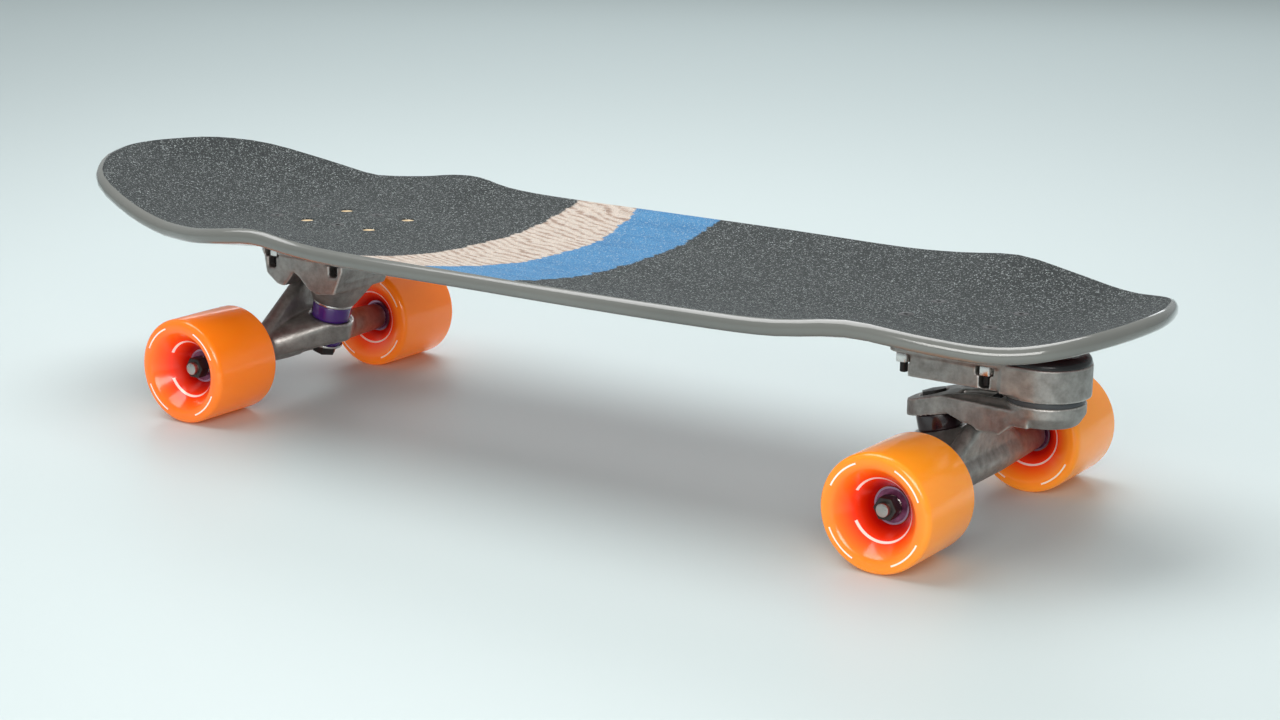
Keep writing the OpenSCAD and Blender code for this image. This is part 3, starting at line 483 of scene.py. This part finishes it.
def merged_copy(node, flat=True):
    """A copy of a node's mesh as one connected skin, named for the node."""
    source = nodes[node]
    piece = bpy.data.objects.new(f"{node}_skin", source.data.copy())
    bpy.context.scene.collection.objects.link(piece)
    piece.data.materials.clear()
    only(piece)
    if piece.data.has_custom_normals:
        bpy.ops.mesh.customdata_custom_splitnormals_clear()
    bpy.ops.object.mode_set(mode="EDIT")
    bpy.ops.mesh.select_all(action="SELECT")
    bpy.ops.mesh.remove_doubles(threshold=0.000004)
    if flat:
        bpy.ops.mesh.dissolve_limited(angle_limit=math.radians(0.6))
    bpy.ops.object.mode_set(mode="OBJECT")
    return piece


def apply_all(piece):
    only(piece)
    for modifier in list(piece.modifiers):
        bpy.ops.object.modifier_apply(modifier=modifier.name)


def bevelled(piece, width, angle=35, segments=2):
    modifier = piece.modifiers.new("edge", "BEVEL")
    modifier.width = width
    modifier.segments = segments
    modifier.limit_method = "ANGLE"
    modifier.angle_limit = math.radians(angle)
    modifier.use_clamp_overlap = True
    apply_all(piece)


def finished(piece, finish, node, body, smooth=32):
    """Shades the piece, gives it its finish and puts it on its body in place of the node."""
    only(piece)
    bpy.ops.object.shade_smooth_by_angle(angle=math.radians(smooth))
    piece.data.materials.append(finish.material)
    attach(piece, body)
    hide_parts(node)


body_of_node = {
    node: body for body, members in frame["record"]["behaviour"]["bodies"].items() for node in members
}

# %% [markdown]
# ## Deck
# The rail is rounded where it was poured, and its top stands flush with the grip. The grip keeps
# its exact outline, so its cut edge reads as a sheet.

# %% Deck pieces
RAIL_ROUND = 0.0036
RAIL_CORNER = math.radians(50)


def is_outer_corner(edge):
    """A sharp edge between the rail's outer wall and its top or bottom."""
    if len(edge.link_faces) != 2 or edge.calc_face_angle(0) < RAIL_CORNER:
        return False
    wall = min(edge.link_faces, key=lambda face: abs(face.normal.z))
    middle = wall.calc_center_median()
    outwards = Vector((0.25 * middle.x, middle.y, 0))
    return wall.normal.dot(outwards) > 0


rail = merged_copy("deck_rail", flat=False)
only(rail)
bpy.ops.object.mode_set(mode="EDIT")
bpy.ops.mesh.select_mode(type="EDGE")
bpy.ops.mesh.select_all(action="DESELECT")
rail_mesh = bmesh.from_edit_mesh(rail.data)
for edge in rail_mesh.edges:
    edge.select_set(is_outer_corner(edge))
bmesh.update_edit_mesh(rail.data)
bpy.ops.mesh.bevel(offset=RAIL_ROUND, segments=5, affect="EDGES", clamp_overlap=False)
bpy.ops.object.mode_set(mode="OBJECT")
finished(rail, rail_finish, "deck_rail", "deck", 60)
grip = merged_copy("deck_grip", flat=False)
finished(grip, grip_finish, "deck_grip", "deck", 40)
sheet = merged_copy("deck_base_sheet", flat=False)
finished(sheet, sheet_finish, "deck_base_sheet", "deck", 40)
print("rail faces", len(rail.data.polygons))

# %% [markdown]
# ## Castings
# A real casting has no sharp inside corner, because metal doesn't flow into one. Voxel remeshing
# turns each exact solid into an even skin, and a few passes of smoothing round every corner and
# fillet at once, as the mould's radii do.


# %% Casting helper
VOXEL = 0.0008
SMOOTH_PASSES = 6
SMOOTH_SHARE = 0.6
CASTINGS = ("rear_baseplate", "front_baseplate", "front_swing_arm", "rear_hanger", "front_hanger")


def casting(node):
    piece = merged_copy(node, flat=False)
    remesh = piece.modifiers.new("mould", "REMESH")
    remesh.mode = "VOXEL"
    remesh.voxel_size = VOXEL
    smooth = piece.modifiers.new("radii", "SMOOTH")
    smooth.factor = SMOOTH_SHARE
    smooth.iterations = SMOOTH_PASSES
    apply_all(piece)
    finished(piece, cast, node, body_of_node[node], 180)
    print(node, "faces", len(piece.data.polygons))


for node in CASTINGS:
    casting(node)

# %% [markdown]
# ## Wheels, bearings and hardware
# These are turned or pressed parts, so their copies only need the small edge rounding of their
# trade: nearly a millimetre on urethane, a few tenths on steel. HARDWARE gives each its finish and
# that rounding.

# %% Turned and pressed pieces
TYRE_ROUND = 0.0009
for end in ("rear", "front"):
    for side in ("near", "far"):
        wheel = f"{end}_{side}"
        tyre = merged_copy(f"{wheel}_tyre", flat=False)
        bevelled(tyre, TYRE_ROUND, 18, 3)
        finished(tyre, tyre_finishes[end], f"{wheel}_tyre", f"{wheel}_wheel", 60)

HARDWARE = {
    "rear_upper_bushing": (purple, 0.0007), "rear_lower_bushing": (purple, 0.0007),
    "front_upper_bushing": (dark_bushing, 0.0007), "front_lower_bushing": (dark_bushing, 0.0007),
    "rear_cup_washers": (zinc, 0.0003), "front_cup_washers": (maroon_steel, 0.0003),
    "rear_kingpin": (black_steel, 0.0004), "front_kingpin": (black_steel, 0.0004),
    "rear_kingpin_nut": (black_steel, 0.0004), "front_kingpin_nut": (black_steel, 0.0004),
    "rear_deck_bolts": (bolt_black, 0.00025), "front_deck_bolts": (bolt_black, 0.00025),
    "rear_deck_nuts": (zinc, 0.0003), "front_deck_nuts": (zinc, 0.0003),
    "rear_axle_nuts": (black_steel, 0.0004), "front_axle_nuts": (black_steel, 0.0004),
    "rear_axle": (axle_steel, 0.0005), "front_axle": (axle_steel, 0.0005),
    "rear_speed_washers": (zinc, 0.0001), "front_speed_washers": (zinc, 0.0001),
    "front_post_cap": (cap_black, 0.0004), "front_cap_screws": (zinc, 0.0002),
    "front_post_nut": (black_steel, 0.0004), "front_thrust_ring": (seal_grey, 0.0003),
}
for node, (finish, width) in HARDWARE.items():
    piece = merged_copy(node)
    bevelled(piece, width)
    finished(piece, finish, node, body_of_node[node], 30)

# %% [markdown]
# ## Exact pieces that stay
# What is hidden inside, or already has its true form, keeps its exact mesh and gets a finish.

# %% Finishes on exact nodes
KEPT = {
    "deck_core": wood, "front_post": axle_steel, "front_centring_spring": spring_steel,
    "front_arm_bushes": bronze, "rear_pivot_cup": cup_black, "front_pivot_cup": cup_black,
}
for end in ("rear", "front"):
    KEPT[f"{end}_bearing_spacers"] = zinc
    KEPT[f"{end}_inner_races"] = race_steel
    for side in ("near", "far"):
        KEPT[f"{end}_{side}_outer_races"] = shield_finishes[end]
        KEPT[f"{end}_{side}_balls"] = race_steel
        KEPT[f"{end}_{side}_core"] = core_finish
for node, finish in KEPT.items():
    nodes[node].data.materials.clear()
    nodes[node].data.materials.append(finish.material)
print("kept", len(KEPT), "replaced", len(nodes) - len(KEPT))
